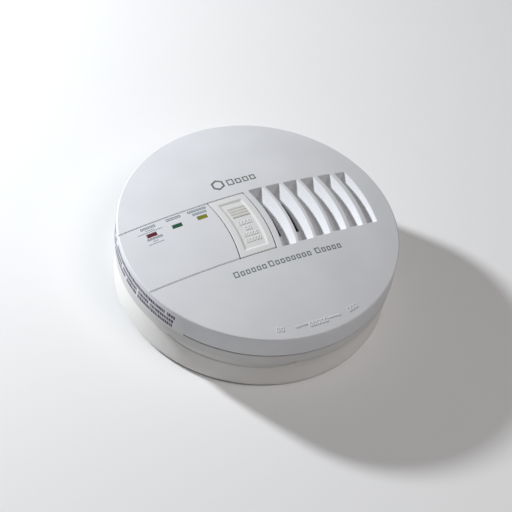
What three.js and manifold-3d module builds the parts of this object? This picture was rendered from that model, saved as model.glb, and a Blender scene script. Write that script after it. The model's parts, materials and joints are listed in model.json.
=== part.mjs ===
// Mains-powered carbon monoxide alarm with a backup battery, on its twist-off trim ring.
// Millimetres. The back of the trim ring lies on z = 0, the alarm's axis is Z, and +Z leaves its face.
// +X runs along the panel lines from the indicator lights towards the vents.
import * as THREE from "three";
import { mergeVertices } from "three/addons/utils/BufferGeometryUtils.js";
import Module from "manifold-3d";

const wasm = await Module();
wasm.setup();

// Driving dimensions
const ROUND = 64; // sides of the large round shells
const FINE = 20; // sides of small round pieces
const GAP = 0.3; // clearance between neighbouring pieces
const WALL = 2.2; // moulded wall

const COVER_R = 73;
const COVER_LOW = 26.8;
const EDGE_Z = 39.5; // height of the face where its edge begins to round over
const EDGE_R = 1.3; // radius of that rounding
const DOME = 7; // rise of the face from its edge to its middle
const TOP_Z = EDGE_Z + DOME;

const BAND_R = 72.4; // the band of the rear housing that shows between cover and ring
const BAND_LOW = 19.6;
const BAND_TOP = 25.9;
const HOUSING_R = 63.5; // the part of the housing that sits inside the ring
const HOUSING_LOW = 6;
const FLOOR = 2;

const RING_TOP = 19.3;
const RING_TOP_R = 69;
const RING_FOOT_R = 71.6;
const RING_WALL = 2;
const PLATE = 2.5; // back plate of the ring
const PLATE_BORE_R = 54;
const EAR_IN = 36; // how far in the two ears that hold the fixing slots reach
const SLOT_IN = 39.5; // the fixing slots take screws 83 to 89 mm apart
const SLOT_OUT = 46.5;
const SLOT_WIDTH = 5;

const TABS = [30, 150, 270]; // bayonet tabs, degrees about Z
const TAB_WIDTH = 13; // degrees
const TAB_Z = 7;
const TAB_HIGH = 2;

const PANEL_Y = 19.2; // half height of the panel between the two face lines
const BOW = 2.3; // how far the curved edges of button and vents bulge towards +X
const BOW_R = 88; // radius of those curved edges
const BUTTON_LEFT = -18.4; // left and right edges of the button at y = 0
const BUTTON_RIGHT = 1.3;
const BUTTON_HALF = 19.3;
const BUTTON_LOW = 38;
const BUTTON_X = -9.5; // axis of the stem, spring and switch
const DISH = 0.5; // depth of the finger dish in the button

const VENT_X = 4.5; // left edge of the first vent at y = 0
const VENT_PITCH = 9.97;
const VENT_WIDTHS = [8.35, 8.35, 8.35, 8, 8, 6.8];
const VENT_HALF = 20;
const VENT_DEPTH = 5.5;
const VENT_RUN = 0.85; // sideways run of a vent's slope for each millimetre down
const VENT_END = 0.43; // forward lean of its far end for each millimetre down
const OPEN_VENTS = 2; // the vents that have a slot through their floor

const LIGHTS = ["red", "green", "amber"];
const LIGHT_X = -54.9;
const LIGHT_PITCH = 13.9;
const LIGHT_Y = 12.1;
const LENS = { x: 5.3, y: 2.15 };
const LABEL = { r: 72.8, thick: 0.15, z0: 26.1, z1: 37.3, from: 146, to: 214 }; // angles in degrees

const BOARD_Z = 20;
const BOARD_TOP = 21.6;
const ON_BOARD = BOARD_TOP + GAP;
const BOARD_R = 60.5;
const SENSOR = { x: 12, y: 0, r: 10, top: 36.2 };
const HORN = { x: 44.3, y: 0, r: 15.3, top: 33 };
const BOSS_R = 54; // circle of the four case screws
const CASE_SCREWS = [45, 135, 225, 315];
const BOARD_SCREWS = [[-54, -12], [16, -52]];

const BAY = { x0: -22, x1: 30.5, y0: 12.5, y1: 41.3, top: 26.1, wall: 1.6 }; // battery bay, inside
const PIVOT = { y: 14, z: 7.2, r: 1.2, pin: 0.8 }; // hinge of the battery door
const INLET = { x: 12.5, y0: -31.5, y1: -18.5, top: 16.7, wall: 1.5 }; // socket for the mains plug

// Materials
const finishes = {
  cover: new THREE.MeshStandardMaterial({ color: 0xd4d7dd, roughness: 0.55 }),
  housing: new THREE.MeshStandardMaterial({ color: 0xcfcdcc, roughness: 0.55 }),
  ring: new THREE.MeshStandardMaterial({ color: 0xd8d6d3, roughness: 0.5 }),
  button: new THREE.MeshStandardMaterial({ color: 0xd7d7d4, roughness: 0.5 }),
  label: new THREE.MeshStandardMaterial({ color: 0xc9c8cc, roughness: 0.3 }),
  red: new THREE.MeshStandardMaterial({ color: 0x7c2a3c, roughness: 0.25 }),
  green: new THREE.MeshStandardMaterial({ color: 0x2d6446, roughness: 0.25 }),
  amber: new THREE.MeshStandardMaterial({ color: 0x969628, roughness: 0.25 }),
  board: new THREE.MeshStandardMaterial({ color: 0x1f5a38, roughness: 0.4 }),
  black: new THREE.MeshStandardMaterial({ color: 0x1b1b1d, roughness: 0.5 }),
  blue: new THREE.MeshStandardMaterial({ color: 0x2a4f8f, roughness: 0.35 }),
  yellow: new THREE.MeshStandardMaterial({ color: 0xc9a227, roughness: 0.4 }),
  foam: new THREE.MeshStandardMaterial({ color: 0x34353a, roughness: 0.95 }),
  steel: new THREE.MeshStandardMaterial({ color: 0xb4b6b8, roughness: 0.3, metalness: 1 }),
  brass: new THREE.MeshStandardMaterial({ color: 0xc8a24e, roughness: 0.3, metalness: 1 }),
};

const alarm = new THREE.Group();

// Solids
function solid(geometry) {
  const bare = geometry.clone();
  bare.deleteAttribute("normal");
  bare.deleteAttribute("uv");
  const merged = mergeVertices(bare, 1e-4);
  return new wasm.Manifold(
    new wasm.Mesh({
      numProp: 3,
      vertProperties: merged.attributes.position.array,
      triVerts: new Uint32Array(merged.index.array),
    }),
  );
}

function add(name, shape, finish) {
  const made = shape.getMesh();
  const geometry = new THREE.BufferGeometry();
  geometry.setAttribute("position", new THREE.BufferAttribute(made.vertProperties, 3));
  geometry.setIndex(new THREE.BufferAttribute(made.triVerts, 1));
  geometry.computeVertexNormals();
  const mesh = new THREE.Mesh(geometry, finishes[finish]);
  mesh.name = name;
  alarm.add(mesh);
}

// A box between two corners, given in either order along x and y.
function block(x0, x1, y0, y1, z0, z1) {
  const geometry = new THREE.BoxGeometry(Math.abs(x1 - x0), Math.abs(y1 - y0), z1 - z0);
  return solid(geometry.translate((x0 + x1) / 2, (y0 + y1) / 2, (z0 + z1) / 2));
}

function rod(x, y, z0, z1, r, sides = FINE) {
  const geometry = new THREE.CylinderGeometry(r, r, z1 - z0, sides);
  return solid(geometry.rotateX(Math.PI / 2).translate(x, y, (z0 + z1) / 2));
}

function rodAlongX(y, z, x0, x1, r) {
  const geometry = new THREE.CylinderGeometry(r, r, x1 - x0, FINE);
  return solid(geometry.rotateZ(Math.PI / 2).translate((x0 + x1) / 2, y, z));
}

// A profile of [radius, z] points turned about the vertical line through x, y.
function turned(profile, sides = ROUND, x = 0, y = 0) {
  const points = profile.map(([r, z]) => new THREE.Vector2(r, z));
  const geometry = new THREE.LatheGeometry(points, sides);
  return solid(geometry.rotateX(Math.PI / 2).translate(x, y, 0));
}

function extruded(points, z0, z1) {
  const shape = new THREE.Shape(points.map(([x, y]) => new THREE.Vector2(x, y)));
  const geometry = new THREE.ExtrudeGeometry(shape, { depth: z1 - z0, bevelEnabled: false });
  return solid(geometry.translate(0, 0, z0));
}

// An outline of [y, z] points drawn out along x.
function alongX(points, x0, x1) {
  const shape = new THREE.Shape(points.map(([y, z]) => new THREE.Vector2(y, z)));
  const geometry = new THREE.ExtrudeGeometry(shape, { depth: x1 - x0, bevelEnabled: false });
  return solid(geometry.rotateX(Math.PI / 2).rotateZ(Math.PI / 2).translate(x0, 0, 0));
}

// A wedge between two angles about Z, used to cut a sector out of a ring.
function sector(from, to, r, z0, z1) {
  const steps = Math.max(2, Math.ceil((to - from) / 8));
  const points = [[0, 0]];
  for (let i = 0; i <= steps; i++) {
    points.push(polar(r, from + ((to - from) * i) / steps));
  }
  return extruded(points, z0, z1);
}

// Part of a ring, between two radii, two heights and two angles about Z.
function arcBlock(r0, r1, z0, z1, from, to) {
  const ring = turned([[r0, z0], [r1, z0], [r1, z1], [r0, z1], [r0, z0]]);
  return ring.intersect(sector(from, to, 90, z0 - 1, z1 + 1));
}

function polar(r, degrees) {
  const a = THREE.MathUtils.degToRad(degrees);
  return [r * Math.cos(a), r * Math.sin(a)];
}

function joined(first, ...others) {
  return others.reduce((sum, next) => sum.add(next), first);
}

function cut(first, ...others) {
  return others.reduce((rest, next) => rest.subtract(next), first);
}

// The face
const FACE_R = COVER_R - 0.6; // circle through which the dome's sphere passes at EDGE_Z
const SPHERE_R = (FACE_R ** 2 + DOME ** 2) / (2 * DOME);

function faceZ(r) {
  return TOP_Z - SPHERE_R + Math.sqrt(SPHERE_R ** 2 - r ** 2);
}

// Points of the dome from radius `from` to radius `to`, lowered by `below`.
function domeArc(from, to, below, steps = 7) {
  const points = [];
  for (let i = 0; i <= steps; i++) {
    const r = from + ((to - from) * i) / steps;
    points.push([r, faceZ(r) - below]);
  }
  return points;
}

// The space under the face, lowered by `below`, down to z0.
function underFace(below, z0) {
  return turned([[0, z0], [COVER_R, z0], ...domeArc(COVER_R, 0, below)]);
}

// Curved edge shared by the button and the vents: x at height y for an edge at `middle` when y is 0.
function bowed(middle, y) {
  return middle - BOW * (y / VENT_HALF) ** 2;
}

function buttonOutline(grow) {
  const half = BUTTON_HALF + grow;
  const steps = 8;
  const points = [];
  for (let i = 0; i <= steps; i++) {
    const y = -half + (2 * half * i) / steps;
    points.push([bowed(BUTTON_RIGHT + grow, y), y]);
  }
  for (let i = 0; i <= steps; i++) {
    const y = half - (2 * half * i) / steps;
    points.push([bowed(BUTTON_LEFT - grow, y), y]);
  }
  return points;
}

// Front cover
function coverShell() {
  const inside = COVER_R - WALL;
  const edge = COVER_R - EDGE_R;
  return turned([
    [0, TOP_Z - WALL],
    ...domeArc(0, inside - 1, WALL, 5).slice(1),
    [inside, EDGE_Z - WALL - 1],
    [inside, COVER_LOW],
    [COVER_R, COVER_LOW],
    [COVER_R, EDGE_Z - EDGE_R],
    [COVER_R - 0.4 * EDGE_R, faceZ(edge) - 0.45 * EDGE_R],
    ...domeArc(edge, 0, 0),
  ]);
}

// Sizes of one vent: its edges at y = 0, its floor, the foot of its slope and its half length.
function ventSize(k) {
  const left = VENT_X + k * VENT_PITCH;
  const right = left + VENT_WIDTHS[k];
  const floor = faceZ((left + right) / 2) - VENT_DEPTH + 0.25 * k;
  const foot = right - VENT_RUN * (faceZ(right) - floor);
  return { left, right, floor, foot, half: VENT_HALF - 0.35 * k };
}

// A closed profile turned about the bow's centre, so that it follows the curved edge at x = left.
function bowTurned(left, profile) {
  const points = profile.map(([x, z]) => [BOW_R + x - left, z]);
  return turned([...points, points[0]], 120, left - BOW_R);
}

// One vent: an upright left wall, a flat floor, a slope up to the right edge and a leaning far end.
function ventGroove(k) {
  const { left, right, floor, foot, half } = ventSize(k);
  const above = TOP_Z + 2;
  const profile = [[left, floor], [foot, floor], [right, faceZ(right)], [right, above], [left, above]];
  const endTop = faceZ(Math.hypot(left, half));
  const farEnd = (z) => half - VENT_END * (endTop - z);
  const length = alongX([[-half, 30], [farEnd(30), 30], [farEnd(above), above], [-half, above]], -5, COVER_R);
  return bowTurned(left, profile).intersect(length);
}

// The slot through the floor of an open vent, beside the foot of its slope.
function ventSlot(k) {
  const { left, floor, foot } = ventSize(k);
  const inner = foot - 1.4;
  const profile = [[inner, floor - 8], [foot, floor - 8], [foot, floor + 0.5], [inner, floor + 0.5]];
  return bowTurned(left, profile).intersect(block(-5, COVER_R, -10, 10, 0, TOP_Z));
}

const VENT_BLOCK_LOW = 36.5; // underside of the thick stretch that the vents are cut into
const SCREEN = { x0: 3, x1: 21, y: 13, z: 38.2, thick: 0.5 };

function frontCover() {
  const ventBlock = block(3.2, 63.5, -21.8, 21.8, VENT_BLOCK_LOW, TOP_Z).intersect(underFace(0.5, 30));
  const bosses = CASE_SCREWS.map((angle) =>
    rod(...polar(BOSS_R, angle), 18.3, TOP_Z, 3.5, 12).intersect(underFace(WALL / 2, 10)),
  );
  let cover = joined(coverShell(), ventBlock, ...bosses);
  for (let k = 0; k < VENT_WIDTHS.length; k++) {
    cover = cover.subtract(ventGroove(k));
  }
  for (let k = 0; k < OPEN_VENTS; k++) {
    cover = cover.subtract(ventSlot(k));
  }
  const opening = extruded(buttonOutline(GAP + 0.15), 30, TOP_Z + 1);
  const screenPocket = block(SCREEN.x0, SCREEN.x1, -SCREEN.y, SCREEN.y, 30, SCREEN.z + SCREEN.thick + GAP);
  const lights = LIGHTS.map((_, i) => lensBlock(i, GAP, 30, TOP_Z));
  const lines = [-PANEL_Y, PANEL_Y].map((y) =>
    block(-COVER_R, bowed(BUTTON_LEFT, y) - 0.4, y - 0.4, y + 0.4, 30, TOP_Z).subtract(underFace(0.5, 29)),
  );
  const pilots = CASE_SCREWS.map((angle) => rod(...polar(BOSS_R, angle), 10, 30, 1.8, 12));
  const labelSeat = arcBlock(
    LABEL.r - GAP, COVER_R + 1, LABEL.z0 - GAP, LABEL.z1 + GAP, LABEL.from - 0.3, LABEL.to + 0.3);
  add("front_cover", cut(cover, opening, screenPocket, ...lights, ...lines, ...pilots, labelSeat), "cover");
}

// Printed sticker that wraps the side wall and seals the seam under the cover.
function sideLabel() {
  const { r, thick, z0, z1, from, to } = LABEL;
  add("side_label", arcBlock(r, r + thick, z0, z1, from, to), "label");
}

// Light pipes and their lights
function lensBlock(i, grow, z0, z1) {
  const x = LIGHT_X + i * LIGHT_PITCH;
  const halfX = LENS.x / 2 + grow;
  const halfY = LENS.y / 2 + grow;
  return block(x - halfX, x + halfX, LIGHT_Y - halfY, LIGHT_Y + halfY, z0, z1);
}

function indicators() {
  LIGHTS.forEach((colour, i) => {
    const x = LIGHT_X + i * LIGHT_PITCH;
    const pipe = lensBlock(i, 0, 28, TOP_Z).intersect(underFace(0.1, 20));
    add("light_pipe_" + colour, pipe, colour);
    const flange = rod(x, LIGHT_Y, ON_BOARD, ON_BOARD + 1, 1.9, 12);
    const lamp = rod(x, LIGHT_Y, ON_BOARD, 26.5, 1.5, 12);
    add("led_" + colour, joined(flange, lamp), colour);
  });
}

// Test button, its return spring and the switch below it
function testButton() {
  const face = extruded(buttonOutline(0), BUTTON_LOW, TOP_Z + 1).intersect(underFace(0, 30));
  const stops = [-1, 1].map((side) => block(-16, -4, side * 18, side * 22, BUTTON_LOW, BUTTON_LOW + 2));
  const dish = extruded(buttonOutline(-3.2), 40, TOP_Z + 2).subtract(underFace(DISH, 30));
  const stem = rod(BUTTON_X, 0, 28.5, BUTTON_LOW + 1, 2.2);
  add("test_button", joined(face, ...stops, stem).subtract(dish), "button");
}

const SPRING = { r: 5.6, wire: 0.4, turns: 6 };

class Coil extends THREE.Curve {
  getPoint(t) {
    const [x, y] = polar(SPRING.r, 360 * SPRING.turns * t);
    const low = ON_BOARD + SPRING.wire;
    const high = BUTTON_LOW - GAP - SPRING.wire;
    return new THREE.Vector3(BUTTON_X + x, y, low + (high - low) * t);
  }
}

function returnSpring() {
  const wire = new THREE.Shape();
  wire.absarc(0, 0, SPRING.wire, 0, 2 * Math.PI);
  const geometry = new THREE.ExtrudeGeometry(wire, {
    extrudePath: new Coil(),
    steps: 12 * SPRING.turns,
    curveSegments: 3,
    bevelEnabled: false,
  });
  add("button_spring", solid(geometry), "steel");
}

function testSwitch() {
  const body = block(BUTTON_X - 3, BUTTON_X + 3, -3, 3, ON_BOARD, 26.4);
  const well = rod(BUTTON_X, 0, 22.9, 27, 1.9, 12);
  add("switch_body", body.subtract(well), "black");
  add("switch_plunger", rod(BUTTON_X, 0, 24.2, 28.2, 1.5, 12), "black");
}

// Rear housing
function housingShell() {
  const lip = COVER_R - WALL - GAP;
  return turned([
    [0, HOUSING_LOW],
    [HOUSING_R - 1.5, HOUSING_LOW],
    [HOUSING_R, HOUSING_LOW + 1.5],
    [HOUSING_R, BAND_LOW],
    [BAND_R - 0.4, BAND_LOW],
    [BAND_R, BAND_LOW + 0.5],
    [BAND_R, BAND_TOP],
    [lip, BAND_TOP],
    [lip, BAND_TOP + 2],
    [lip - 1, BAND_TOP + 2],
    [lip - 1, BAND_LOW + FLOOR],
    [HOUSING_R - FLOOR, BAND_LOW + FLOOR],
    [HOUSING_R - FLOOR, HOUSING_LOW + FLOOR],
    [0, HOUSING_LOW + FLOOR],
  ]);
}

function bayBlock(grow, z0, z1) {
  return block(BAY.x0 - grow, BAY.x1 + grow, BAY.y0 - grow, BAY.y1 + grow, z0, z1);
}

function inletBlock(grow, z0, z1) {
  return block(-INLET.x - grow, INLET.x + grow, INLET.y0 - grow, INLET.y1 + grow, z0, z1);
}

function rearHousing() {
  const tabs = TABS.map((angle) =>
    arcBlock(HOUSING_R - 1, 66.6, TAB_Z, TAB_Z + TAB_HIGH, angle - TAB_WIDTH / 2, angle + TAB_WIDTH / 2),
  );
  const bosses = CASE_SCREWS.map((angle) => rod(...polar(BOSS_R, angle), HOUSING_LOW, 18, 5));
  const posts = BOARD_SCREWS.map(([x, y]) => rod(x, y, HOUSING_LOW + 1, BOARD_Z - GAP, 3, 12));
  const bay = bayBlock(0, 0, BAY.top);
  const bayWalls = bayBlock(BAY.wall, HOUSING_LOW, BAY.top + BAY.wall);
  const inlet = inletBlock(0, 0, INLET.top);
  const inletWalls = inletBlock(INLET.wall, HOUSING_LOW, INLET.top + INLET.wall);
  const hinge = rodAlongX(PIVOT.y, PIVOT.z, BAY.x0 - 1, BAY.x1 + 1, PIVOT.pin + GAP);
  const heads = CASE_SCREWS.map((angle) => rod(...polar(BOSS_R, angle), 0, 14, 3.5));
  const shanks = CASE_SCREWS.map((angle) => rod(...polar(BOSS_R, angle), 0, 20, 1.9, 12));
  const pilots = BOARD_SCREWS.map(([x, y]) => rod(x, y, 9, 25, 1.3, 12));
  const pins = [-1, 0, 1].map((i) => inletPin(i, GAP));
  add(
    "rear_housing",
    cut(
      joined(housingShell(), ...tabs, ...bosses, ...posts, bayWalls, inletWalls),
      bay, inlet, hinge, ...heads, ...shanks, ...pilots, ...pins),
    "housing",
  );
}

function screws() {
  CASE_SCREWS.forEach((angle, i) => {
    const [x, y] = polar(BOSS_R, angle);
    const head = rod(x, y, 11.8, 13.7, 2.8).subtract(block(x - 2, x + 2, y - 0.4, y + 0.4, 11, 12.6));
    add("case_screw_" + (i + 1), joined(head, rod(x, y, 13, 28, 1.5, 12)), "steel");
  });
  BOARD_SCREWS.forEach(([x, y], i) => {
    const head = rod(x, y, ON_BOARD, ON_BOARD + 1.5, 2.4);
    add("board_screw_" + (i + 1), joined(head, rod(x, y, 11, ON_BOARD + 1, 1, 12)), "steel");
  });
}

// Circuit board and what stands on it
function board() {
  const disc = rod(0, 0, BOARD_Z, BOARD_TOP, BOARD_R, 48);
  const bayHole = bayBlock(BAY.wall + 0.5, 10, 30);
  const bossHoles = CASE_SCREWS.map((angle) => rod(...polar(BOSS_R, angle), 10, 30, 4.1, 12));
  const screwHoles = BOARD_SCREWS.map(([x, y]) => rod(x, y, 10, 30, 1.3, 12));
  const pins = [-1, 0, 1].map((i) => inletPin(i, GAP));
  add("main_board", cut(disc, bayHole, ...bossHoles, ...screwHoles, ...pins), "board");
}

function boardParts() {
  add("film_capacitor", block(-52, -34, -30, -22, ON_BOARD, 34), "yellow");
  add("smoothing_capacitor", rod(-24, -38, ON_BOARD, 35, 5), "blue");
  add("backup_capacitor", rod(30, -42, ON_BOARD, 32, 4), "blue");
  const disc = new THREE.CylinderGeometry(5, 5, 3.6, FINE);
  add("surge_absorber", solid(disc.translate(-6, -50, ON_BOARD + 5)), "blue");
  add("bridge_rectifier", block(-40, -32, -14, -7, ON_BOARD, 25), "black");
  add("microcontroller", block(-52, -42, -5, 5, ON_BOARD, 24.2), "black");
  add("interconnect_optocoupler", block(10, 19, -36, -30, ON_BOARD, 25.4), "black");
  add("fuse_resistor", rodAlongX(-44, ON_BOARD + 2, -20, -9, 2), "foam");
}

function gasSensor() {
  const { x, y, r, top } = SENSOR;
  const can = rod(x, y, ON_BOARD, top, r, 32);
  add("co_sensor", can.subtract(rod(x, y, top - 1.2, top + 1, 5)), "steel");
  const gasket = rod(x, y, top + GAP, SCREEN.z - GAP, 8.6, 32).subtract(rod(x, y, top, SCREEN.z, 6.2));
  add("sensor_gasket", gasket, "foam");
  const half = SCREEN.y - 0.5;
  const screen = block(SCREEN.x0 + 0.5, SCREEN.x1 - 0.5, -half, half, SCREEN.z, SCREEN.z + SCREEN.thick);
  add("dust_screen", screen, "foam");
}

function horn() {
  const { x, y, r, top } = HORN;
  const ledge = 25.2;
  const chamber = turned(
    [[r - 1.3, ON_BOARD], [r, ON_BOARD], [r, top], [3, top], [3, top - 1.5], [r - 3.2, top - 1.5],
      [r - 3.2, ledge], [r - 1.3, ledge], [r - 1.3, ON_BOARD]],
    32, x, y,
  );
  add("horn_chamber", chamber, "black");
  const plate = rod(x, y, 24.5, 24.9, r - 1.3 - GAP, 32);
  add("piezo_disc", joined(plate, rod(x, y, 24.2, 24.6, 9, 32)), "brass");
  [-1, 1].forEach((side, i) => {
    const foot = block(x + side * 4, x + side * 6.5, -1, 1, ON_BOARD, ON_BOARD + 0.4);
    const riser = block(x + side * 4, x + side * 4.4, -1, 1, ON_BOARD, 23.9);
    const finger = block(x + side * 4, x + side * 2, -1, 1, 23.5, 23.9);
    add("piezo_contact_" + (i + 1), joined(foot, riser, finger), "steel");
  });
}

// Mains inlet: three blades in an insulating block, in a socket that opens at the back
function inletPin(i, grow) {
  return block(7 * i - 1.6 - grow, 7 * i + 1.6 + grow, -25.4 - grow, -24.6 + grow, 8, 23.2 + grow);
}

function mainsInlet() {
  const pins = [-1, 0, 1].map((i) => inletPin(i, GAP));
  const insulator = inletBlock(-GAP - 0.2, 13.8, INLET.top - GAP);
  add("inlet_insulator", cut(insulator, ...pins), "black");
  ["line", "neutral", "interconnect"].forEach((name, i) => {
    add("inlet_pin_" + name, inletPin(i - 1, 0), "brass");
  });
}

// Backup battery, its contacts and door
function battery() {
  const middle = (BAY.y0 + BAY.y1) / 2;
  const end = BAY.x1 - 4.5;
  const studZ = 17.2;
  const can = block(end - 46.5, end, middle - 13.2, middle + 13.2, 8.8, 25.7);
  const small = rodAlongX(middle - 6.35, studZ, end - 1, end + 2.2, 2.9);
  const large = rodAlongX(middle + 6.35, studZ, end - 1, end + 2.2, 3.6);
  add("battery", joined(can, small, large), "black");
  ["positive", "negative"].forEach((name, i) => {
    const y = middle + (i ? 6.35 : -6.35);
    const plate = block(end + 2.5, end + 3.3, y - 4.5, y + 4.5, 10, 24);
    add("battery_contact_" + name, plate, "steel");
  });
}

function batteryDoor() {
  const clear = 0.4;
  const free = BAY.y1 - clear;
  const barrel = rodAlongX(PIVOT.y, PIVOT.z, BAY.x0 + clear, BAY.x1 - clear, PIVOT.r);
  const panel = block(BAY.x0 + clear, BAY.x1 - clear, PIVOT.y, free, HOUSING_LOW, HOUSING_LOW + 1.6);
  const pins = rodAlongX(PIVOT.y, PIVOT.z, BAY.x0 - 0.7, BAY.x1 + 0.7, PIVOT.pin);
  const grip = block(-2, 10, free - 3, free + 1, HOUSING_LOW - 1, HOUSING_LOW + 0.8);
  add("battery_door", joined(barrel, panel, pins).subtract(grip), "housing");
}

// Trim ring
function ringShell() {
  const lean = (RING_FOOT_R - RING_TOP_R) / (RING_TOP - 2.6);
  const inner = (z) => RING_FOOT_R - RING_WALL - lean * Math.max(0, z - 2.6);
  return turned([
    [PLATE_BORE_R, 0],
    [RING_FOOT_R - 2.2, 0],
    [RING_FOOT_R - 0.7, 0.7],
    [RING_FOOT_R, 2.4],
    [RING_TOP_R + 0.05, RING_TOP - 0.5],
    [RING_TOP_R - 0.4, RING_TOP],
    [RING_TOP_R - RING_WALL, RING_TOP],
    [inner(PLATE), PLATE],
    [PLATE_BORE_R, PLATE],
    [PLATE_BORE_R, 0],
  ]);
}

function trimRing() {
  const ears = [-1, 1].map((side) => block(side * EAR_IN, side * 58, -9, 9, 0, PLATE));
  const slots = [-1, 1].map((side) =>
    block(side * SLOT_IN, side * SLOT_OUT, -SLOT_WIDTH / 2, SLOT_WIDTH / 2, -1, PLATE + 1),
  );
  const hookZ = TAB_Z + TAB_HIGH + 0.4;
  const hooks = TABS.map((angle) => {
    const from = angle - TAB_WIDTH / 2 - 3;
    const ledge = arcBlock(64.3, 68.6, hookZ, hookZ + 2, from, angle + TAB_WIDTH / 2 + 0.5);
    const stop = arcBlock(64.3, 68.6, PLATE - 0.5, hookZ + 1, from, from + 2.5);
    return joined(ledge, stop);
  });
  const grown = joined(ringShell(), ...ears, ...hooks);
  add("trim_ring", cut(grown, ...slots), "ring");
}

trimRing();
frontCover();
sideLabel();
indicators();
testButton();
returnSpring();
testSwitch();
rearHousing();
screws();
board();
boardParts();
gasSensor();
horn();
mainsInlet();
battery();
batteryDoor();

export default alarm;
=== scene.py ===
"""Looks of a round carbon monoxide alarm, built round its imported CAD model.

Shapes are worked out in millimetres and scaled to metres when an object is made.
The face is modelled flat and straight, then bent: see to_face().
"""
import json
import math
import random

import bmesh
import bpy
from mathutils import Matrix, Vector


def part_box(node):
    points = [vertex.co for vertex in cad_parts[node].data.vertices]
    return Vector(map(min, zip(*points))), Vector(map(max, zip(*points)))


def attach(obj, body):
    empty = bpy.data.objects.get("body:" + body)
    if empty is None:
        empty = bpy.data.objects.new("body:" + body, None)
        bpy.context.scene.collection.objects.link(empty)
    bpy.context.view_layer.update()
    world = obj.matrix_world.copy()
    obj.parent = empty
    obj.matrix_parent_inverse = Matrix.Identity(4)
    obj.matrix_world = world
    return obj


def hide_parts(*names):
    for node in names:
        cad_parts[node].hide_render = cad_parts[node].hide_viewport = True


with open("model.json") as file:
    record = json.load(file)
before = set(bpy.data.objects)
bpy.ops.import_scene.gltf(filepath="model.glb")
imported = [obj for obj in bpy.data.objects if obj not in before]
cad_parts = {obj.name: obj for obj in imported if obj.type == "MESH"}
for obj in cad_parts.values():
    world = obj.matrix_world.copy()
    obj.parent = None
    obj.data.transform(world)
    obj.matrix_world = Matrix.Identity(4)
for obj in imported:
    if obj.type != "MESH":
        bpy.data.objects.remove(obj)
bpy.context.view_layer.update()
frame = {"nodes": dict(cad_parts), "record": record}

MM = 0.001
scene = bpy.context.scene


# ---------------------------------------------------------------- sizes, from the frame
def box_mm(node):
    """Lowest and highest corner of a CAD node, in millimetres."""
    low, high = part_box(node)
    return low / MM, high / MM


cover_high = box_mm("front_cover")[1]
housing_low, housing_high = box_mm("rear_housing")
ring_high = box_mm("trim_ring")[1]
button_high = box_mm("test_button")[1]
label_low, label_high = box_mm("side_label")
door_low, door_high = box_mm("battery_door")

ROUND = 256  # sides of a large round shell
FILM = 0.06  # thickness of the sticker
COVER_R = cover_high.x - FILM - 0.01
TOP_Z = cover_high.z
DOME = 7.0  # height of the face's middle above its edge
FACE_R = cover_high.x - 0.6
SPHERE_R = (FACE_R ** 2 + DOME ** 2) / (2 * DOME)
EDGE_R = 0.75  # rounding between face and side wall
FACE_PLATE = 6.6  # thickness of the face, which holds the vents
WALL = 2.2  # thickness of the cover's side wall
THROUGH_FACE = -FACE_PLATE - 1  # a cut down to here goes through the face

BAND_R = housing_high.x  # the housing's band, which shows between cover and ring
LIP = 2.0  # the housing's lip stands this far up inside the cover
BAND_TOP = housing_high.z - LIP
BAND_LOW = ring_high.z + 0.3
SEAM = 0.95  # open seam between cover and band
COVER_LOW = BAND_TOP + SEAM

BOW = 2.3  # how far the curved edges of button and vents fall back
BOW_HALF = 20.0  # at this height above and below the middle
BUTTON_RIGHT = button_high.x  # at y = 0
BUTTON_HALF = 19.3
BUTTON_WIDE = 19.7
BUTTON_LEFT = BUTTON_RIGHT - BUTTON_WIDE
BUTTON_UNDER = -6.6  # underside of the button, which clears its spring when pressed
STEM = (-9.5, 0.0, 28.5, 41.0, 2.2)  # the button's stem: x, y, lower end, upper end, radius
GAP = 0.6  # open gap round the button
DISH_RIM = 3.0  # width of the raised rim round the button's dish
DISH_DEEP = 0.52
DISH_SLOPE = 1.3  # sideways run of the dish's sloping sides

VENT_X = 4.5  # left edge of the first vent, at y = 0
VENT_PITCH = 9.97
VENT_WIDTHS = (8.35, 8.35, 8.35, 8.0, 8.0, 6.8)
VENT_INSET = (0.6, 0.3, 0.4, 0.4, 0.7, 0.8)  # how far right of its CAD edge each vent's left edge shows
VENT_RUN = 0.85  # sideways run of a vent's slope for each millimetre down
VENT_END = 0.43  # forward lean of its far end for each millimetre down
OPEN_VENTS = 2  # the first vents have a slot through their floor

INK = 0.02  # how far printed marks stand up
MARK_HIGH = 0.2  # how far the moulded twist marks stand up
TABS = (30, 150, 270)  # directions of the bayonet tabs, in degrees


def face_z(r):
    """Height of the domed face at radius r."""
    return TOP_Z - SPHERE_R + math.sqrt(SPHERE_R ** 2 - r ** 2)


def fade(value, full, none):
    """1 at `full`, 0 at `none`, smooth between."""
    t = min(max((value - none) / (full - none), 0.0), 1.0)
    return t * t * (3 - 2 * t)


def bow(x, y):
    """How far the curved edges of button and vents fall back at x, y. It fades to nothing outside them."""
    across = fade(x, -19.6, -24.2) * fade(x, 63.5, 69.5)
    along = fade(abs(y), 20.6, 27.0)
    return BOW * (y / BOW_HALF) ** 2 * across * along


# ---------------------------------------------------------------- mesh helpers
def box_bm(x0, x1, y0, y1, z0, z1):
    """A box between two corners."""
    bm = bmesh.new()
    bmesh.ops.create_cube(bm, size=1.0)
    size = Matrix.Diagonal((x1 - x0, y1 - y0, z1 - z0, 1.0))
    place = Matrix.Translation(((x0 + x1) / 2, (y0 + y1) / 2, (z0 + z1) / 2))
    bmesh.ops.transform(bm, matrix=place @ size, verts=bm.verts)
    return bm


def cylinder_bm(place, length, r, sides):
    """A cylinder along the local Z of the matrix `place`."""
    bm = bmesh.new()
    bmesh.ops.create_cone(
        bm, cap_ends=True, segments=sides, radius1=r, radius2=r, depth=length, matrix=place)
    return bm


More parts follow.
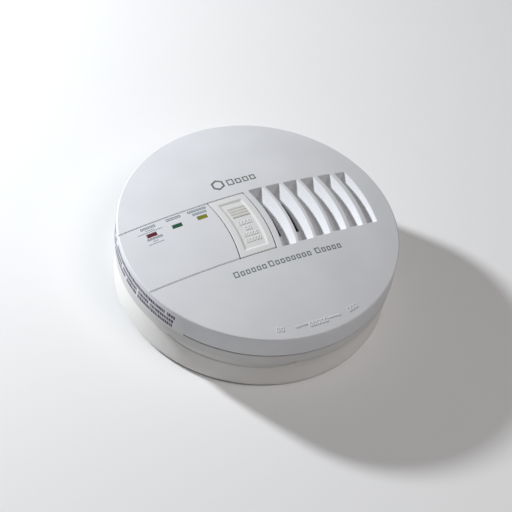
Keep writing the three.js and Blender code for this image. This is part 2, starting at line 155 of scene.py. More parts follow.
def rod_bm(x, y, z0, z1, r):
    """An upright cylinder."""
    return cylinder_bm(Matrix.Translation((x, y, (z0 + z1) / 2)), z1 - z0, r, 48)


def loft_bm(near, far):
    """A solid between two loops with the same number of points."""
    bm = bmesh.new()
    near = [bm.verts.new(point) for point in near]
    far = [bm.verts.new(point) for point in far]
    bm.faces.new(near)
    bm.faces.new(list(reversed(far)))
    for i in range(len(near)):
        j = (i + 1) % len(near)
        bm.faces.new((near[j], near[i], far[i], far[j]))
    bmesh.ops.recalc_face_normals(bm, faces=bm.faces)
    return bm


def prism_bm(outline, z0, z1):
    """An outline of [x, y] points drawn out along Z."""
    return loft_bm([(x, y, z0) for x, y in outline], [(x, y, z1) for x, y in outline])


def extruded_bm(section, x0, x1):
    """A section of [y, z] points drawn out along X."""
    return loft_bm([(x0, y, z) for y, z in section], [(x1, y, z) for y, z in section])


def hoop_bm(outer, inner, z0, z1):
    """A flat hoop between an outer and an inner outline of [x, y] points."""
    bm = bmesh.new()
    loops = []
    for outline, z in ((outer, z0), (outer, z1), (inner, z1), (inner, z0)):
        loops.append([bm.verts.new((x, y, z)) for x, y in outline])
    sides = len(outer)
    for k in range(4):
        a, b = loops[k], loops[(k + 1) % 4]
        for i in range(sides):
            j = (i + 1) % sides
            bm.faces.new((a[i], a[j], b[j], b[i]))
    bmesh.ops.recalc_face_normals(bm, faces=bm.faces)
    return bm


def turned_bm(profile, start=0.0, end=360.0, sides=ROUND):
    """A profile turned about Z. profile(angle) gives a closed loop of [radius, z], counterclockwise."""
    whole = abs(end - start) >= 360.0
    count = sides if whole else max(2, round(sides * (end - start) / 360.0)) + 1
    bm = bmesh.new()
    columns = []
    for i in range(count):
        angle = start + (end - start) * i / (count if whole else count - 1)
        c, s = math.cos(math.radians(angle)), math.sin(math.radians(angle))
        columns.append([bm.verts.new((r * c, r * s, z)) for r, z in profile(angle)])
    spans = count if whole else count - 1
    rows = len(columns[0])
    for i in range(spans):
        a, b = columns[i], columns[(i + 1) % count]
        for k in range(rows):
            m = (k + 1) % rows
            bm.faces.new((a[k], b[k], b[m], a[m]))
    if not whole:
        bm.faces.new(columns[0])
        bm.faces.new(list(reversed(columns[-1])))
    bmesh.ops.recalc_face_normals(bm, faces=bm.faces)
    return bm


def same(r0, r1, z0, z1):
    """A profile for turned_bm: the same rectangle at every angle."""
    return lambda _: [(r0, z0), (r1, z0), (r1, z1), (r0, z1)]


def disc_bm(profile):
    """A solid turned from an open profile of [radius, z], closed at both ends by a flat face."""
    bm = bmesh.new()
    rings = []
    for r, z in profile:
        ring = []
        for i in range(ROUND):
            a = 2 * math.pi * i / ROUND
            ring.append(bm.verts.new((r * math.cos(a), r * math.sin(a), z)))
        rings.append(ring)
    for low, high in zip(rings, rings[1:]):
        for i in range(ROUND):
            j = (i + 1) % ROUND
            bm.faces.new((low[i], low[j], high[j], high[i]))
    bm.faces.new(rings[0])
    bm.faces.new(rings[-1])
    bmesh.ops.recalc_face_normals(bm, faces=bm.faces)
    return bm


def joined_bm(parts):
    """One bmesh holding every part; the parts stay separate shells."""
    whole = bmesh.new()
    for part in parts:
        mesh = bpy.data.meshes.new("part")
        part.to_mesh(mesh)
        part.free()
        whole.from_mesh(mesh)
        bpy.data.meshes.remove(mesh)
    return whole


def temporary(bm):
    """A scratch object that holds bm, for modifiers to work on."""
    mesh = bpy.data.meshes.new("temporary")
    bm.to_mesh(mesh)
    bm.free()
    made = bpy.data.objects.new("temporary", mesh)
    scene.collection.objects.link(made)
    return made


def carved(base, adds=(), cuts=(), bevel=0.0, segments=3, angle=28.0):
    """base with solids joined and cut, and its sharp edges rounded. Returns a bmesh."""
    target = temporary(base)
    tools = []
    for parts, operation in ((adds, "UNION"), (cuts, "DIFFERENCE")):
        for part in parts:
            tool = temporary(part)
            tools.append(tool)
            step = target.modifiers.new("step", "BOOLEAN")
            step.operation = operation
            step.solver = "MANIFOLD"
            step.object = tool
    if bevel:
        round_over = target.modifiers.new("round", "BEVEL")
        round_over.width = bevel
        round_over.segments = segments
        round_over.limit_method = "ANGLE"
        round_over.angle_limit = math.radians(angle)
        round_over.use_clamp_overlap = False
        round_over.miter_outer = "MITER_ARC"
    bpy.context.view_layer.update()
    graph = bpy.context.evaluated_depsgraph_get()
    mesh = bpy.data.meshes.new_from_object(target.evaluated_get(graph))
    bm = bmesh.new()
    bm.from_mesh(mesh)
    bpy.data.meshes.remove(mesh)
    for used in [target, *tools]:
        bpy.data.meshes.remove(used.data)
    return bm


def gridded(bm, pitch, x0, x1, y0, y1):
    """Cuts every face along a square grid, so that a later bend has points to move."""
    for axis, low, high in ((0, x0, x1), (1, y0, y1)):
        steps = round((high - low) / pitch)
        for i in range(1, steps):
            point = Vector((0, 0, 0))
            point[axis] = low + (high - low) * i / steps
            normal = Vector((0, 0, 0))
            normal[axis] = 1.0
            everything = bm.verts[:] + bm.edges[:] + bm.faces[:]
            bmesh.ops.bisect_plane(bm, geom=everything, dist=1e-5, plane_co=point, plane_no=normal)
    return bm


def to_face(bm):
    """Bends a flat model onto the alarm's face: curved edges first, then the dome."""
    for v in bm.verts:
        x = v.co.x - bow(v.co.x, v.co.y)
        v.co.x = x
        v.co.z += face_z(min(math.hypot(x, v.co.y), cover_high.x))
    return bm


def piece(name, bm, body, material, replaced=(), sharp=35.0, weighted=True, level=False):
    """Makes the object in metres, smooth-shaded, puts it on what it rides on and hides the CAD nodes it
    replaces.

    With level, faces that lie level are shaded flat, so that roundings beside them don't tint them.
    """
    bmesh.ops.remove_doubles(bm, verts=bm.verts, dist=1e-5)
    bmesh.ops.scale(bm, vec=(MM, MM, MM), verts=bm.verts)
    mesh = bpy.data.meshes.new(name)
    bm.to_mesh(mesh)
    bm.free()
    mesh.shade_smooth()
    mesh.set_sharp_from_angle(angle=math.radians(sharp))
    for face in mesh.polygons if level else ():
        if abs(face.normal.z) > 0.99999:
            face.use_smooth = False
    made = bpy.data.objects.new(name, mesh)
    scene.collection.objects.link(made)
    mesh.materials.append(material)
    if weighted:
        even = made.modifiers.new("even", "WEIGHTED_NORMAL")
        even.keep_sharp = True
        even.weight = 60
    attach(made, body)
    if replaced:
        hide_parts(*replaced)
    return made


# ---------------------------------------------------------------- materials
def linear(red, green, blue):
    """Linear colour from 0-255 display values."""
    def one(c):
        c /= 255
        return c / 12.92 if c <= 0.04045 else ((c + 0.055) / 1.055) ** 2.4
    return one(red), one(green), one(blue), 1.0


def moulded(name, colour, rough=0.5, grain=0.35, depth=0.012, tint=0.03, metal=0.0, ior=1.46, worn=0.0):
    """Moulded plastic or metal: fine grain in the bump, soft variation in colour and gloss, faint scuffs.

    Sizes of the grain are in millimetres. `tint` and `worn` say how far the colour wanders and fades.
    """
    material = bpy.data.materials.new(name)
    material.use_nodes = True
    nodes, links = material.node_tree.nodes, material.node_tree.links
    shader = nodes["Principled BSDF"]
    shader.inputs["Metallic"].default_value = metal
    shader.inputs["IOR"].default_value = ior
    place = nodes.new("ShaderNodeTexCoord")

    def noise(size_mm, detail):
        node = nodes.new("ShaderNodeTexNoise")
        node.inputs["Scale"].default_value = 1.0 / (size_mm * MM)
        node.inputs["Detail"].default_value = detail
        links.new(place.outputs["Object"], node.inputs["Vector"])
        return node

    def ramp(source, low, high, start=0.3, end=0.7):
        node = nodes.new("ShaderNodeMapRange")
        node.inputs["From Min"].default_value = start
        node.inputs["From Max"].default_value = end
        node.inputs["To Min"].default_value = low
        node.inputs["To Max"].default_value = high
        links.new(source, node.inputs["Value"])
        return node.outputs["Result"]

    cloud = noise(26.0, 2.0)
    shade = nodes.new("ShaderNodeMix")
    shade.data_type = "RGBA"
    shade.inputs[6].default_value = [c * (1 - tint) for c in colour[:3]] + [1.0]
    shade.inputs[7].default_value = [min(c * (1 + tint), 1.0) for c in colour[:3]] + [1.0]
    links.new(ramp(cloud.outputs["Fac"], 0.0, 1.0), shade.inputs["Factor"])
    base = shade.outputs[2]
    if worn:
        scuffs = ramp(noise(7.0, 9.0).outputs["Fac"], 0.0, worn, 0.60, 0.68)
        duller = nodes.new("ShaderNodeMix")
        duller.data_type = "RGBA"
        duller.inputs[7].default_value = [c * 0.88 for c in colour[:3]] + [1.0]
        links.new(scuffs, duller.inputs["Factor"])
        links.new(base, duller.inputs[6])
        base = duller.outputs[2]
    links.new(base, shader.inputs["Base Color"])
    fine = noise(grain, 3.0)
    links.new(ramp(fine.outputs["Fac"], rough - 0.05, rough + 0.05), shader.inputs["Roughness"])
    bump = nodes.new("ShaderNodeBump")
    bump.inputs["Distance"].default_value = depth * MM
    bump.inputs["Strength"].default_value = 1.0
    links.new(fine.outputs["Fac"], bump.inputs["Height"])
    links.new(bump.outputs["Normal"], shader.inputs["Normal"])
    return material


def lens_material(name, colour):
    """Tinted clear plastic, with little light let through."""
    material = moulded(name, colour, rough=0.28, grain=0.8, depth=0.006, tint=0.18, ior=1.5)
    shader = material.node_tree.nodes["Principled BSDF"]
    shader.inputs["Transmission Weight"].default_value = 0.15
    shader.inputs["Coat Weight"].default_value = 0.3
    return material


COVER = moulded("cover_plastic", linear(215, 216, 219), rough=0.52, worn=0.12)
HOUSING = moulded("housing_plastic", linear(206, 204, 203), rough=0.52, worn=0.12)
RING = moulded("ring_plastic", linear(226, 224, 221), rough=0.48, worn=0.12)
BUTTON = moulded("button_plastic", linear(220, 220, 219), rough=0.5, worn=0.12)
PAD = moulded("pad_plastic", linear(204, 203, 198), rough=0.6)
PRINT = moulded("printed_ink", linear(108, 118, 113), rough=0.6, grain=0.2, tint=0.1)
SMALL_PRINT = moulded("small_printed_ink", linear(100, 112, 124), rough=0.6, grain=0.2, tint=0.1)
LABEL_INK = moulded("label_ink", linear(84, 77, 98), rough=0.6, grain=0.2, tint=0.1)
LABEL = moulded("label_film", linear(215, 215, 217), rough=0.38, grain=1.5, depth=0.004)
RED = lens_material("red_lens", linear(108, 40, 60))
GREEN = lens_material("green_lens", linear(44, 96, 70))
AMBER = lens_material("amber_lens", linear(138, 142, 44))
BLACK = moulded("black_plastic", linear(26, 26, 28), rough=0.5, tint=0.1)
BOARD = moulded("solder_resist", linear(24, 84, 50), rough=0.35, grain=2.0, tint=0.2)
JACKET = moulded("battery_jacket", linear(38, 40, 46), rough=0.35, tint=0.1)
RESIN = moulded("yellow_resin", linear(196, 158, 40), rough=0.4, tint=0.1)
SLEEVE = moulded("blue_sleeve", linear(40, 80, 150), rough=0.35, tint=0.1)
PALE = moulded("sensor_plastic", linear(190, 190, 188), rough=0.5)
FOAM = moulded("foam", linear(46, 46, 50), rough=0.95, grain=0.6, depth=0.12, tint=0.2)
MESH = moulded("dust_mesh", linear(30, 30, 32), rough=0.8, grain=0.3, depth=0.1, tint=0.2)
BRASS = moulded("brass", linear(206, 178, 104), rough=0.28, metal=1.0, tint=0.06)
STEEL = moulded("zinc_steel", linear(196, 198, 200), rough=0.32, metal=1.0, tint=0.05)
MATERIALS = {
    "cover": COVER, "housing": HOUSING, "ring": RING, "button": BUTTON, "label": LABEL,
    "red_lens": RED, "green_lens": GREEN, "amber_lens": AMBER, "circuit_board": BOARD,
    "black_plastic": BLACK, "battery_jacket": JACKET, "yellow_resin": RESIN, "blue_sleeve": SLEEVE,
    "sensor_body": PALE, "foam": FOAM, "screen_mesh": MESH, "brass": BRASS, "steel": STEEL,
}
LIGHTS = {"red": RED, "green": GREEN, "amber": AMBER}


# ---------------------------------------------------------------- front cover
def vent_size(k):
    """Left edge, right edge, depth and half length of vent k, seen flat."""
    left = VENT_X + k * VENT_PITCH
    return left + VENT_INSET[k], left + VENT_WIDTHS[k], 5.5 - 0.25 * k, 20.0 - 0.35 * k


def vent_cut(k):
    """A vent seen flat: upright left wall, floor, slope up to the right, leaning far end."""
    left, right, deep, half = vent_size(k)
    foot = right - VENT_RUN * deep
    above = 2.0
    section = [(left, above), (left, -deep), (foot, -deep), (right, 0.0), (right, above)]
    near = [(x, -half, z) for x, z in section]
    far = [(x, half + z * VENT_END, z) for x, z in section]
    return loft_bm(near, far)


def slot_cut(k):
    """The slot through a vent's floor, beside the foot of its slope."""
    _, right, deep, _ = vent_size(k)
    foot = right - VENT_RUN * deep
    return box_bm(foot - 1.5, foot + 0.1, -10.0, 10.0, THROUGH_FACE, 0.8 - deep)


def window_cut(colour):
    """The opening for one indicator window, with a hairline of room round it."""
    low, high = box_mm("light_pipe_" + colour)
    room = 0.12
    return box_bm(low.x - room, high.x + room, low.y - room, high.y + room, THROUGH_FACE, 1)


def line_cut(y, x_end):
    """A shallow panel line that runs out through the edge of the face."""
    half, foot, deep, above = 0.48, 0.2, 0.42, 0.3
    section = [
        (y - half, above), (y - half, 0.0), (y - foot, -deep),
        (y + foot, -deep), (y + half, 0.0), (y + half, above)]
    return extruded_bm(section, -COVER_R - 1, x_end)


def cover():
    """The shell with its vents, button opening, windows and panel lines, in that order of cutting."""
    skirt = face_z(COVER_R) - COVER_LOW
    arc = []
    steps = 8
    for i in range(steps + 1):
        a = math.radians(90 * i / steps)
        arc.append((COVER_R - EDGE_R + EDGE_R * math.sin(a), -EDGE_R + EDGE_R * math.cos(a)))
    profile = arc + [
        (COVER_R, -skirt + 0.25),
        (COVER_R - 0.25, -skirt),
        (COVER_R - WALL, -skirt),
        (COVER_R - WALL, -FACE_PLATE),
    ]
    opening = box_bm(
        BUTTON_LEFT - GAP, BUTTON_RIGHT + GAP, -BUTTON_HALF - GAP, BUTTON_HALF + GAP, THROUGH_FACE, 1)
    vents = [vent_cut(k) for k in range(len(VENT_WIDTHS))]
    bm = carved(disc_bm(profile), cuts=vents, bevel=0.35)
    cuts = [opening]
    cuts += [slot_cut(k) for k in range(OPEN_VENTS)]
    cuts += [window_cut(colour) for colour in LIGHTS]
    bm = carved(bm, cuts=cuts, bevel=0.2, angle=40)
    line_y = BUTTON_HALF + GAP - 0.42
    lines = [line_cut(side * line_y, BUTTON_LEFT - 0.2) for side in (-1, 1)]
    bm = carved(bm, cuts=lines)
    gridded(bm, 4.0, -COVER_R, COVER_R, -COVER_R, COVER_R)
    piece("cover_shell", to_face(bm), "alarm", COVER, ["front_cover"])


def lenses():
    """The three indicator windows, set a little below the face."""
    for colour, material in LIGHTS.items():
        node = "light_pipe_" + colour
        low, high = box_mm(node)
        bm = carved(box_bm(low.x, high.x, low.y, high.y, -8.0, -0.12), bevel=0.22)
        piece("window_" + colour, to_face(bm), "alarm", material, [node])


# ---------------------------------------------------------------- raised and printed marks
def plate(x0, x1, y0, y1):
    """A printed bar with rounded corners."""
    outline = []
    corner = min(0.25, (x1 - x0) / 2.01, (y1 - y0) / 2.01)
    for cx, cy, start in (
        (x1 - corner, y1 - corner, 0), (x0 + corner, y1 - corner, 90),
        (x0 + corner, y0 + corner, 180), (x1 - corner, y0 + corner, 270),
    ):
        for i in range(4):
            a = math.radians(start + 30 * i)
            outline.append((cx + corner * math.cos(a), cy + corner * math.sin(a)))
    return prism_bm(outline, 0.0, INK)


def corners_of(x0, x1, y0, y1, inset):
    """The corners of a rectangle drawn in by `inset`, counterclockwise."""
    x0, x1, y0, y1 = x0 + inset, x1 - inset, y0 + inset, y1 - inset
    return [(x0, y0), (x1, y0), (x1, y1), (x0, y1)]


def letter_box(x0, x1, y0, y1, stroke, z0=0.0, z1=INK):
    """A rectangle drawn in outline: the placeholder for one letter."""
    sides = (x0, x1, y0, y1)
    return hoop_bm(corners_of(*sides, 0), corners_of(*sides, stroke), z0, z1)


def hexagon(x, y, r):
    """The corners of a regular hexagon."""
    angles = [math.radians(60 * i + 30) for i in range(6)]
    return [(x + r * math.cos(a), y + r * math.sin(a)) for a in angles]


def word(x, y, count, high, letter, pitch, stroke=0.0, first=1.0):
    """A run of placeholder letters that stands for a word, its lower left corner at x, y.

    The letters are boxes in outline, or solid bars without a stroke. The first is `first` times as large.
    """
    letters = []
    for i in range(count):
        tall = high * (first if i == 0 else 1.0)
        wide = letter * (first if i == 0 else 1.0)
        if stroke:
            letters.append(letter_box(x, x + wide, y, y + tall, stroke))
        else:
            letters.append(plate(x, x + wide, y, y + tall))
        x += wide + pitch - letter
    return letters


def face_print():
    """The title under the vents, and a hexagon with a short word where a maker's sign would be."""
    marks = []
    for x, count in ((-28.4, 6), (-9.05, 8), (17.3, 5)):
        marks += word(x, -29.6, count, 2.7, 2.15, 3.0, 0.58, 1.28)
    marks.append(hoop_bm(hexagon(-10.2, 29.3, 3.8), hexagon(-10.2, 29.3, 2.6), 0.0, INK))
    marks += word(-5.2, 26.8, 4, 3.5, 3.1, 4.1, 0.7, 1.2)
    piece("face_print", to_face(joined_bm(marks)), "alarm", PRINT, weighted=False)


def light_print():
    """The words beside the lights, and the lines of very small print between them."""
    marks = []
    for x, y, count, high, pitch in (
        (-59.0, 16.5, 5, 1.5, 1.65), (-58.4, 9.0, 6, 1.35, 1.4), (-45.0, 16.6, 5, 1.6, 1.65),
        (-33.0, 16.8, 7, 1.45, 1.6), (-31.2, 14.5, 5, 1.45, 1.6),
    ):
        marks += word(x, y, count, high, pitch - 0.3, pitch, 0.36)
    pitch = 0.95
    for x, y, wide in ((-57.0, 15.2, 5.0), (-61.5, 14.1, 13.4), (-56.0, 7.6, 3.0), (-59.0, 6.2, 8.4)):
        marks += word(x, y, round(wide / pitch), 0.5, 0.7, pitch)
    piece("light_print", to_face(joined_bm(marks)), "alarm", SMALL_PRINT, weighted=False)


def raised(parts, bevel):
    """Moulded marks with rounded edges."""
    return carved(joined_bm(parts), bevel=bevel, segments=2, angle=40)


def arrow(x0, x1, y, half):
    """A bar that ends in an arrow head at x1."""
    way = 1 if x1 > x0 else -1
    head, wide = 1.6, 0.7
    points = [
        (x0, y - half), (x1 - way * head, y - half), (x1 - way * head, y - wide), (x1, y),
        (x1 - way * head, y + wide), (x1 - way * head, y + half), (x0, y + half),
    ]
    if way < 0:
        points.reverse()
    return prism_bm(points, -0.3, MARK_HIGH)


def twist_marks():
    """The twist sign at the front edge: three placeholder words and an arrow each way."""
    parts = [arrow(-5.8, -12.6, -65.6, 0.28), arrow(5.8, 12.9, -65.8, 0.28)]
    pitch, wide, high = 2.1, 1.6, 2.4
    for x, y, count, turn in ((-21.9, -65.3, 2, 16), (-5.0, -67.6, 5, 0), (17.4, -65.2, 3, -16)):
        middle = Vector((x + 1.0 * count, y + high / 2, 0))
        spin = Matrix.Translation(middle) @ Matrix.Rotation(math.radians(-turn), 4, "Z")
        for i in range(count):
            left = x + pitch * i
            block = letter_box(left, left + wide, y, y + high, 0.45, -0.3, MARK_HIGH)
            bmesh.ops.transform(block, matrix=spin @ Matrix.Translation(-middle), verts=block.verts)
            parts.append(block)
    piece("twist_marks", to_face(raised(parts, 0.07)), "alarm", COVER, weighted=False)


# ---------------------------------------------------------------- test button
def button():
    button_cap()
    button_pad()
    button_marks()


def dish_cut():
    """The sunk middle of the button, with sloping sides."""
    bm = bmesh.new()
    loops = []
    for inset, z in ((DISH_RIM - 0.5, 0.5 * DISH_DEEP), (DISH_RIM + DISH_SLOPE, -DISH_DEEP)):
        corners = corners_of(BUTTON_LEFT, BUTTON_RIGHT, -BUTTON_HALF, BUTTON_HALF, inset)
        loops.append([bm.verts.new((x, y, z)) for x, y in corners])
    top, bottom = loops
    bm.faces.new(top)
    bm.faces.new(list(reversed(bottom)))
    for i in range(4):
        j = (i + 1) % 4
        bm.faces.new((top[i], top[j], bottom[j], bottom[i]))
    bmesh.ops.recalc_face_normals(bm, faces=bm.faces)
    return bm


def button_cap():
    """The cap with its dish, and the stem under it."""
    body = box_bm(BUTTON_LEFT, BUTTON_RIGHT, -BUTTON_HALF, BUTTON_HALF, BUTTON_UNDER, 0.0)
    bm = carved(body, cuts=[dish_cut()], bevel=0.22, angle=20)
    gridded(bm, 2.4, BUTTON_LEFT, BUTTON_RIGHT, -BUTTON_HALF, BUTTON_HALF)
    bm = joined_bm([to_face(bm), rod_bm(*STEM)])
    piece("button_cap", bm, "button", BUTTON, ["test_button"])


def button_pad():
    """The ribbed thumb pad in the dish."""
    left, right, low, high, ribs = -12.9, -3.4, 5.2, 12.5, 4
    foot = -DISH_DEEP - 0.2
    pitch = (high - low) / ribs
    ridge = [(low, foot)]
    for i in range(ribs):
        y = low + pitch * i
        ridge += [(y + 0.12, -DISH_DEEP + 0.14), (y + 0.5, -DISH_DEEP + 0.3)]
        ridge += [(y + pitch - 0.4, -DISH_DEEP + 0.3), (y + pitch - 0.08, -DISH_DEEP + 0.16)]
    ridge.append((high, foot))
    ridge.reverse()
    bm = gridded(extruded_bm(ridge, left, right), 1.5, left, right, low, high)
    piece("button_pad", to_face(bm), "button", PAD, sharp=20, weighted=False)


def button_marks():
    """Four moulded placeholder words under the pad."""
    middle, high, stroke = -8.3, 2.1, 0.38
    low, top = -DISH_DEEP - 0.2, -DISH_DEEP + 0.22
    marks = []
    for y, wide, count in ((0.1, 7.5, 4), (-3.9, 4.0, 2), (-7.7, 8.3, 5), (-11.5, 8.8, 5)):
        pitch = wide / count
        for i in range(count):
            left = middle - wide / 2 + pitch * i
            marks.append(letter_box(left, left + pitch - 0.4, y, y + high, stroke, low, top))
    piece("button_marks", to_face(raised(marks, 0.06)), "button", BUTTON, weighted=False)


# ---------------------------------------------------------------- sticker on the side wall
def sticker():
    """The sticker and its three rows of print, made of blocks of uneven width. Angles are in degrees."""
    start = math.degrees(math.atan2(label_high.y, label_high.x))
    film = same(COVER_R + 0.005, COVER_R + FILM - 0.01, label_low.z, label_high.z)
    bm = turned_bm(film, start, 360 - start, sides=360)
    piece("label_film", bm, "alarm", LABEL, ["side_label"], weighted=False)
    dice = random.Random(5)
    ink_r = COVER_R + FILM
    marks = []
    for middle, half, margin in ((34.9, 1.2, 149.6), (31.6, 1.15, 148.8), (28.5, 1.2, 150.2)):
        angle = start + 3.6
        while angle < 360 - margin - 0.8:
            wide = dice.uniform(0.45, 1.1)
            if dice.random() > 0.07:
                high = half * dice.uniform(0.88, 1.0)
                block = same(ink_r - 0.03, ink_r, middle - high, middle + high)
                marks.append(turned_bm(block, angle, angle + wide, sides=360))
            angle += wide + dice.uniform(0.14, 0.26)
    piece("label_print", joined_bm(marks), "alarm", LABEL_INK, weighted=False)


# ---------------------------------------------------------------- rear housing
SHELL_R = 63.5  # the part of the housing that goes into the ring
HOUSING_WALL = 2.0
BAY = (door_low.x + 0.7, door_high.x - 0.7, 12.5, 41.3)  # battery bay: x and y limits
BAY_TOP = 26.1
BAY_WALL = 1.6
INLET = (-12.5, 12.5, -31.5, -18.5)  # socket for the mains plug: x and y limits
INLET_TOP = 16.7
INLET_WALL = 1.5
PIN_PITCH = 7
BOSS_R = 54.0  # circle of the four case screws


def housing_profile():
    """Section of the shell: up the outside from the back to the lip, then down the inside."""
    back = housing_low.z
    lip = cover_high.x - WALL - 0.3
    step = BAND_LOW + HOUSING_WALL
    inside = SHELL_R - HOUSING_WALL
    return [
        (SHELL_R - 1.5, back), (SHELL_R - 0.7, back + 0.3), (SHELL_R - 0.3, back + 0.7),
        (SHELL_R, back + 1.5), (SHELL_R, BAND_LOW), (BAND_R - 0.7, BAND_LOW),
        (BAND_R - 0.35, BAND_LOW + 0.1), (BAND_R - 0.1, BAND_LOW + 0.35),
        (BAND_R, BAND_LOW + 0.7), (BAND_R, BAND_TOP - 0.3),
        (BAND_R - 0.3, BAND_TOP), (lip, BAND_TOP), (lip, BAND_TOP + LIP), (lip - 1.0, BAND_TOP + LIP),
        (lip - 1.0, step), (inside, step), (inside, back + HOUSING_WALL),
    ]


def walled(limits, wall, low, top):
    """The block round a pocket with the given x and y limits."""
    x0, x1, y0, y1 = limits
    return box_bm(x0 - wall, x1 + wall, y0 - wall, y1 + wall, low, top + wall)


def tab(_):
    """Section of a bayonet tab, for turned_bm."""
    foot = SHELL_R - 1
    return [(foot, 7.0), (66.4, 7.0), (66.6, 7.2), (66.6, 8.8), (66.4, 9.0), (foot, 9.0)]


def housing():
    """The shell with screw bosses, battery bay, inlet, pin slots, three grooves in its back and the tabs."""
    back = housing_low.z
    inner = back + 0.1
    angles = [math.radians(45 + 90 * i) for i in range(4)]
    bosses = [(BOSS_R * math.cos(a), BOSS_R * math.sin(a)) for a in angles]
    adds = [rod_bm(x, y, inner, 18.0, 5.0) for x, y in bosses]
    adds.append(walled(BAY, BAY_WALL, inner, BAY_TOP))
    adds.append(walled(INLET, INLET_WALL, inner, INLET_TOP))
    cuts = [box_bm(*BAY, 0, BAY_TOP), box_bm(*INLET, 0, INLET_TOP)]
    cuts += [rod_bm(x, y, 0, 14.0, 3.5) for x, y in bosses]
    cuts += [rod_bm(x, y, 0, 20.0, 1.9) for x, y in bosses]
    for i in (-1, 0, 1):
        middle = PIN_PITCH * i
        cuts.append(box_bm(middle - 1.9, middle + 1.9, -25.7, -24.3, 0, 24))
    for y in (-44.0, -47.0, -50.0):
        cuts.append(box_bm(-16, 16, y - 0.7, y + 0.7, back - 1, back + 0.6))
    shell = carved(disc_bm(housing_profile()), adds, cuts, bevel=0.3, segments=2, angle=50)
    tabs = [turned_bm(tab, angle - 6.5, angle + 6.5) for angle in TABS]
    bm = joined_bm([shell, *tabs])
    piece("housing_shell", bm, "alarm", HOUSING, ["rear_housing"], level=True)


# ---------------------------------------------------------------- battery door
PIVOT_Y, PIVOT_Z = 14.0, 7.2  # the door's hinge line, which runs along X
KNUCKLE_R = 1.2
PIN_R = 0.8


def battery_door():
    """The door panel with its finger notch and grip grooves, its knuckle and the pin through it."""
    low, high = door_low, door_high
    side = 0.8  # the pin stands out of the panel this far on each side
    panel = box_bm(low.x + side, high.x - side, PIVOT_Y, high.y, low.z, low.z + 1.6)
    cuts = [box_bm(-2, 10, high.y - 3, high.y + 1, low.z - 1, low.z + 0.8)]
    for i in range(4):
        x = low.x + 6 + 2.4 * i
        cuts.append(box_bm(x, x + 1.2, high.y - 8, high.y - 3, low.z - 1, low.z + 0.35))
    bm = carved(panel, cuts=cuts, bevel=0.2)
    middle = Matrix.Translation(((low.x + high.x) / 2, PIVOT_Y, PIVOT_Z))
    place = middle @ Matrix.Rotation(math.pi / 2, 4, "Y")
    length = high.x - low.x
    knuckle = cylinder_bm(place, length - 2 * side, KNUCKLE_R, 40)
    pin = cylinder_bm(place, length, PIN_R, 32)
    bm = joined_bm([bm, knuckle, pin])
    piece("door_panel", bm, "door", HOUSING, ["battery_door"], level=True)


# ---------------------------------------------------------------- trim ring
HOLLOW_MID = -126.0  # the shallow hollow in the ring's upper wall is centred here, in degrees
HOLLOW_HALF = 34.0  # and reaches this far to each side
HOLLOW_HIGH = 5.7
HOLLOW_DEEP = 0.3
TICK_AT = -98  # direction of the short upright slit, in degrees
FLARE = 1.7  # power of the curve by which the ring widens downwards: over 1 widens most near the foot
FLARE_FOOT = 2.6  # below this height it widens no more
RING_TOP_R = 68.9
RING_WALL = 2.0
FOOT_ROUND = 2.4  # radius of the rounding at the foot
PLATE_HIGH = 2.5  # back plate of the ring
PLATE_BORE = 54.0
EAR = (36, 58)  # how far out the two ears reach from the middle
EAR_HALF = 9
SLOT = (39.5, 46.5)  # and the fixing slots in them
SLOT_HALF = 2.5


def ring_outer(z):
    """Radius of the ring's outer wall at height z."""
    top, foot_r = ring_high.z, ring_high.x
    down = min(1.0, (top - z) / (top - FLARE_FOOT))
    return RING_TOP_R + (foot_r - RING_TOP_R) * down ** FLARE


def ring_profile(angle):
    """Section of the ring. Round HOLLOW_MID its upper wall is set back a little above `line`."""
    foot_r, top = ring_high.x, ring_high.z
    off = (angle - HOLLOW_MID + 180) % 360 - 180
    inside = max(0.0, 1 - abs(off / HOLLOW_HALF) ** 5)
    deep = HOLLOW_DEEP * min(1.0, 3 * inside)
    line = top - 0.9 - HOLLOW_HIGH * inside
    loop = [(PLATE_BORE, 0.0), (PLATE_BORE + 0.3, 0.0), (foot_r - FOOT_ROUND, 0.0)]
    for i in range(1, 7):
        a = math.radians(15 * i)
        out, down = FOOT_ROUND * math.sin(a), FOOT_ROUND * math.cos(a)
        loop.append((foot_r - FOOT_ROUND + out, FOOT_ROUND - down))
    for t in (0.12, 0.25, 0.4, 0.55, 0.7, 0.85, 0.96):
        z = FOOT_ROUND + (line - FOOT_ROUND) * t
        loop.append((ring_outer(z), z))
    loop += [(ring_outer(line), line), (ring_outer(line) - deep, line + 0.2 * inside + 0.02)]
    loop += [(ring_outer(top - 0.6) - deep, top - 0.6), (ring_outer(top) - 0.15 - deep, top - 0.15)]
    loop += [(ring_outer(top) - 0.6 - deep, top), (RING_TOP_R - RING_WALL, top)]
    plate_r = foot_r - RING_WALL
    loop += [(plate_r - 0.2, PLATE_HIGH + 0.6), (plate_r - 0.8, PLATE_HIGH)]
    loop += [(PLATE_BORE + 0.3, PLATE_HIGH), (PLATE_BORE, PLATE_HIGH - 0.3)]
    return loop


def hook(angle):
    """A bayonet hook: a roof over the tab, and the stop at one end that carries it."""
    start = angle - 9.5
    roof = turned_bm(same(64.3, 68.6, 9.4, 11.4), start, angle + 7.0)
    stop = turned_bm(same(64.3, 68.6, 2.0, 10.4), start, start + 2.5)
    return [roof, stop]


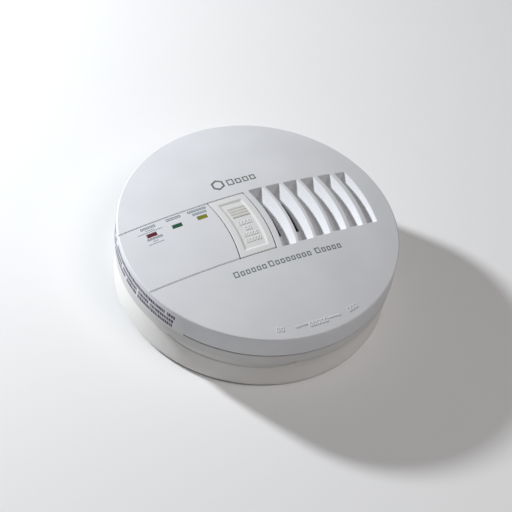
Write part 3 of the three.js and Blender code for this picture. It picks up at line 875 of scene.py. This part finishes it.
def ring():
    """The ring with its ears, fixing slots and hooks, and the short slit in its wall."""
    adds, cuts = [], []
    for side in (1, -1):
        ear_x = sorted(side * x for x in EAR)
        slot_x = sorted(side * x for x in SLOT)
        adds.append(box_bm(*ear_x, -EAR_HALF, EAR_HALF, 0.0, PLATE_HIGH))
        cuts.append(box_bm(*slot_x, -SLOT_HALF, SLOT_HALF, -1, 4))
    for angle in TABS:
        adds += hook(angle)
    tick = box_bm(68.0, 72.0, -0.25, 0.25, 14.6, 16.8)
    bmesh.ops.transform(tick, matrix=Matrix.Rotation(math.radians(TICK_AT), 4, "Z"), verts=tick.verts)
    cuts.append(tick)
    bm = carved(turned_bm(ring_profile), adds, cuts)
    piece("ring_shell", bm, "mount", RING, ["trim_ring"], sharp=40, level=True)


# ---------------------------------------------------------------- inner pieces keep their CAD shape
def inner_pieces():
    """Gives each CAD node the material of its slot."""
    slots = {s["node"]: s["material_slot"] for s in frame["record"]["subparts"]}
    for name, node in frame["nodes"].items():
        node.data.materials.clear()
        node.data.materials.append(MATERIALS[slots[name]])
        node.data.shade_smooth()
        node.data.set_sharp_from_angle(angle=math.radians(35))


# ---------------------------------------------------------------- camera, floor and light
CAMERA_AZIMUTH = -34.6  # degrees round from the front edge, towards the lights
CAMERA_ELEVATION = 48.8
CAMERA_ROLL = 11.1
CAMERA_DISTANCE = 1.035  # metres
CAMERA_LENS = 140.6
CAMERA_TARGET = (-0.0002, -0.0025, 0.020)


def camera():
    """A camera that looks at the target and is rolled about its line of sight."""
    az, el = math.radians(CAMERA_AZIMUTH), math.radians(CAMERA_ELEVATION)
    roll = math.radians(CAMERA_ROLL)
    back = Vector((math.sin(az) * math.cos(el), -math.cos(az) * math.cos(el), math.sin(el)))
    level = Vector((math.cos(az), math.sin(az), 0.0))
    right = level * math.cos(roll) + back.cross(level) * math.sin(roll)
    turn = Matrix((right, back.cross(right), back)).transposed()
    data = bpy.data.cameras.new("camera")
    data.lens = CAMERA_LENS
    data.clip_start = 0.01
    made = bpy.data.objects.new("camera", data)
    made.matrix_world = Matrix.Translation(Vector(CAMERA_TARGET) + back * CAMERA_DISTANCE) @ turn.to_4x4()
    scene.collection.objects.link(made)
    scene.camera = made


def floor():
    """A plain pale floor, just under the object."""
    bm = bmesh.new()
    bmesh.ops.create_grid(bm, x_segments=1, y_segments=1, size=3.0)
    mesh = bpy.data.meshes.new("floor")
    bm.to_mesh(mesh)
    bm.free()
    made = bpy.data.objects.new("floor", mesh)
    made.location.z = -0.0002
    mesh.materials.append(moulded("floor_paint", (0.86, 0.86, 0.86, 1.0), rough=0.9, grain=4.0, tint=0.0))
    scene.collection.objects.link(made)


def area_light(name, place, target, size, power, colour):
    """A round light. Metres and watts."""
    data = bpy.data.lights.new(name, "AREA")
    data.shape = "DISK"
    data.size = size
    data.energy = power
    data.color = colour
    made = bpy.data.objects.new(name, data)
    made.location = place
    made.rotation_euler = (Vector(target) - Vector(place)).to_track_quat("-Z", "Y").to_euler()
    scene.collection.objects.link(made)


def lights():
    """A weak sky, a small key light from behind the left, a large soft one above the front, and a fill."""
    world = bpy.data.worlds.new("world")
    world.use_nodes = True
    sky = world.node_tree.nodes["Background"]
    sky.inputs["Color"].default_value = (1.0, 1.0, 1.0, 1.0)
    sky.inputs["Strength"].default_value = 0.075
    scene.world = world
    middle = Vector((0.0, 0.0, 0.03))
    key = middle + 0.9 * Vector((-0.531, 0.725, 0.439))
    area_light("key", key, middle, 0.09, 9.9, (0.93, 0.965, 1.0))
    area_light("top", (0.24, -0.6, 1.36), middle, 0.8, 7.3, (1.0, 0.965, 0.955))
    area_light("fill", (0.95, -0.6, 0.45), middle, 0.5, 0.4, (1.0, 0.95, 0.93))


scene.view_settings.view_transform = "Standard"
camera()
floor()
lights()
inner_pieces()
cover()
lenses()
face_print()
light_print()
twist_marks()
button()
sticker()
housing()
battery_door()
ring()
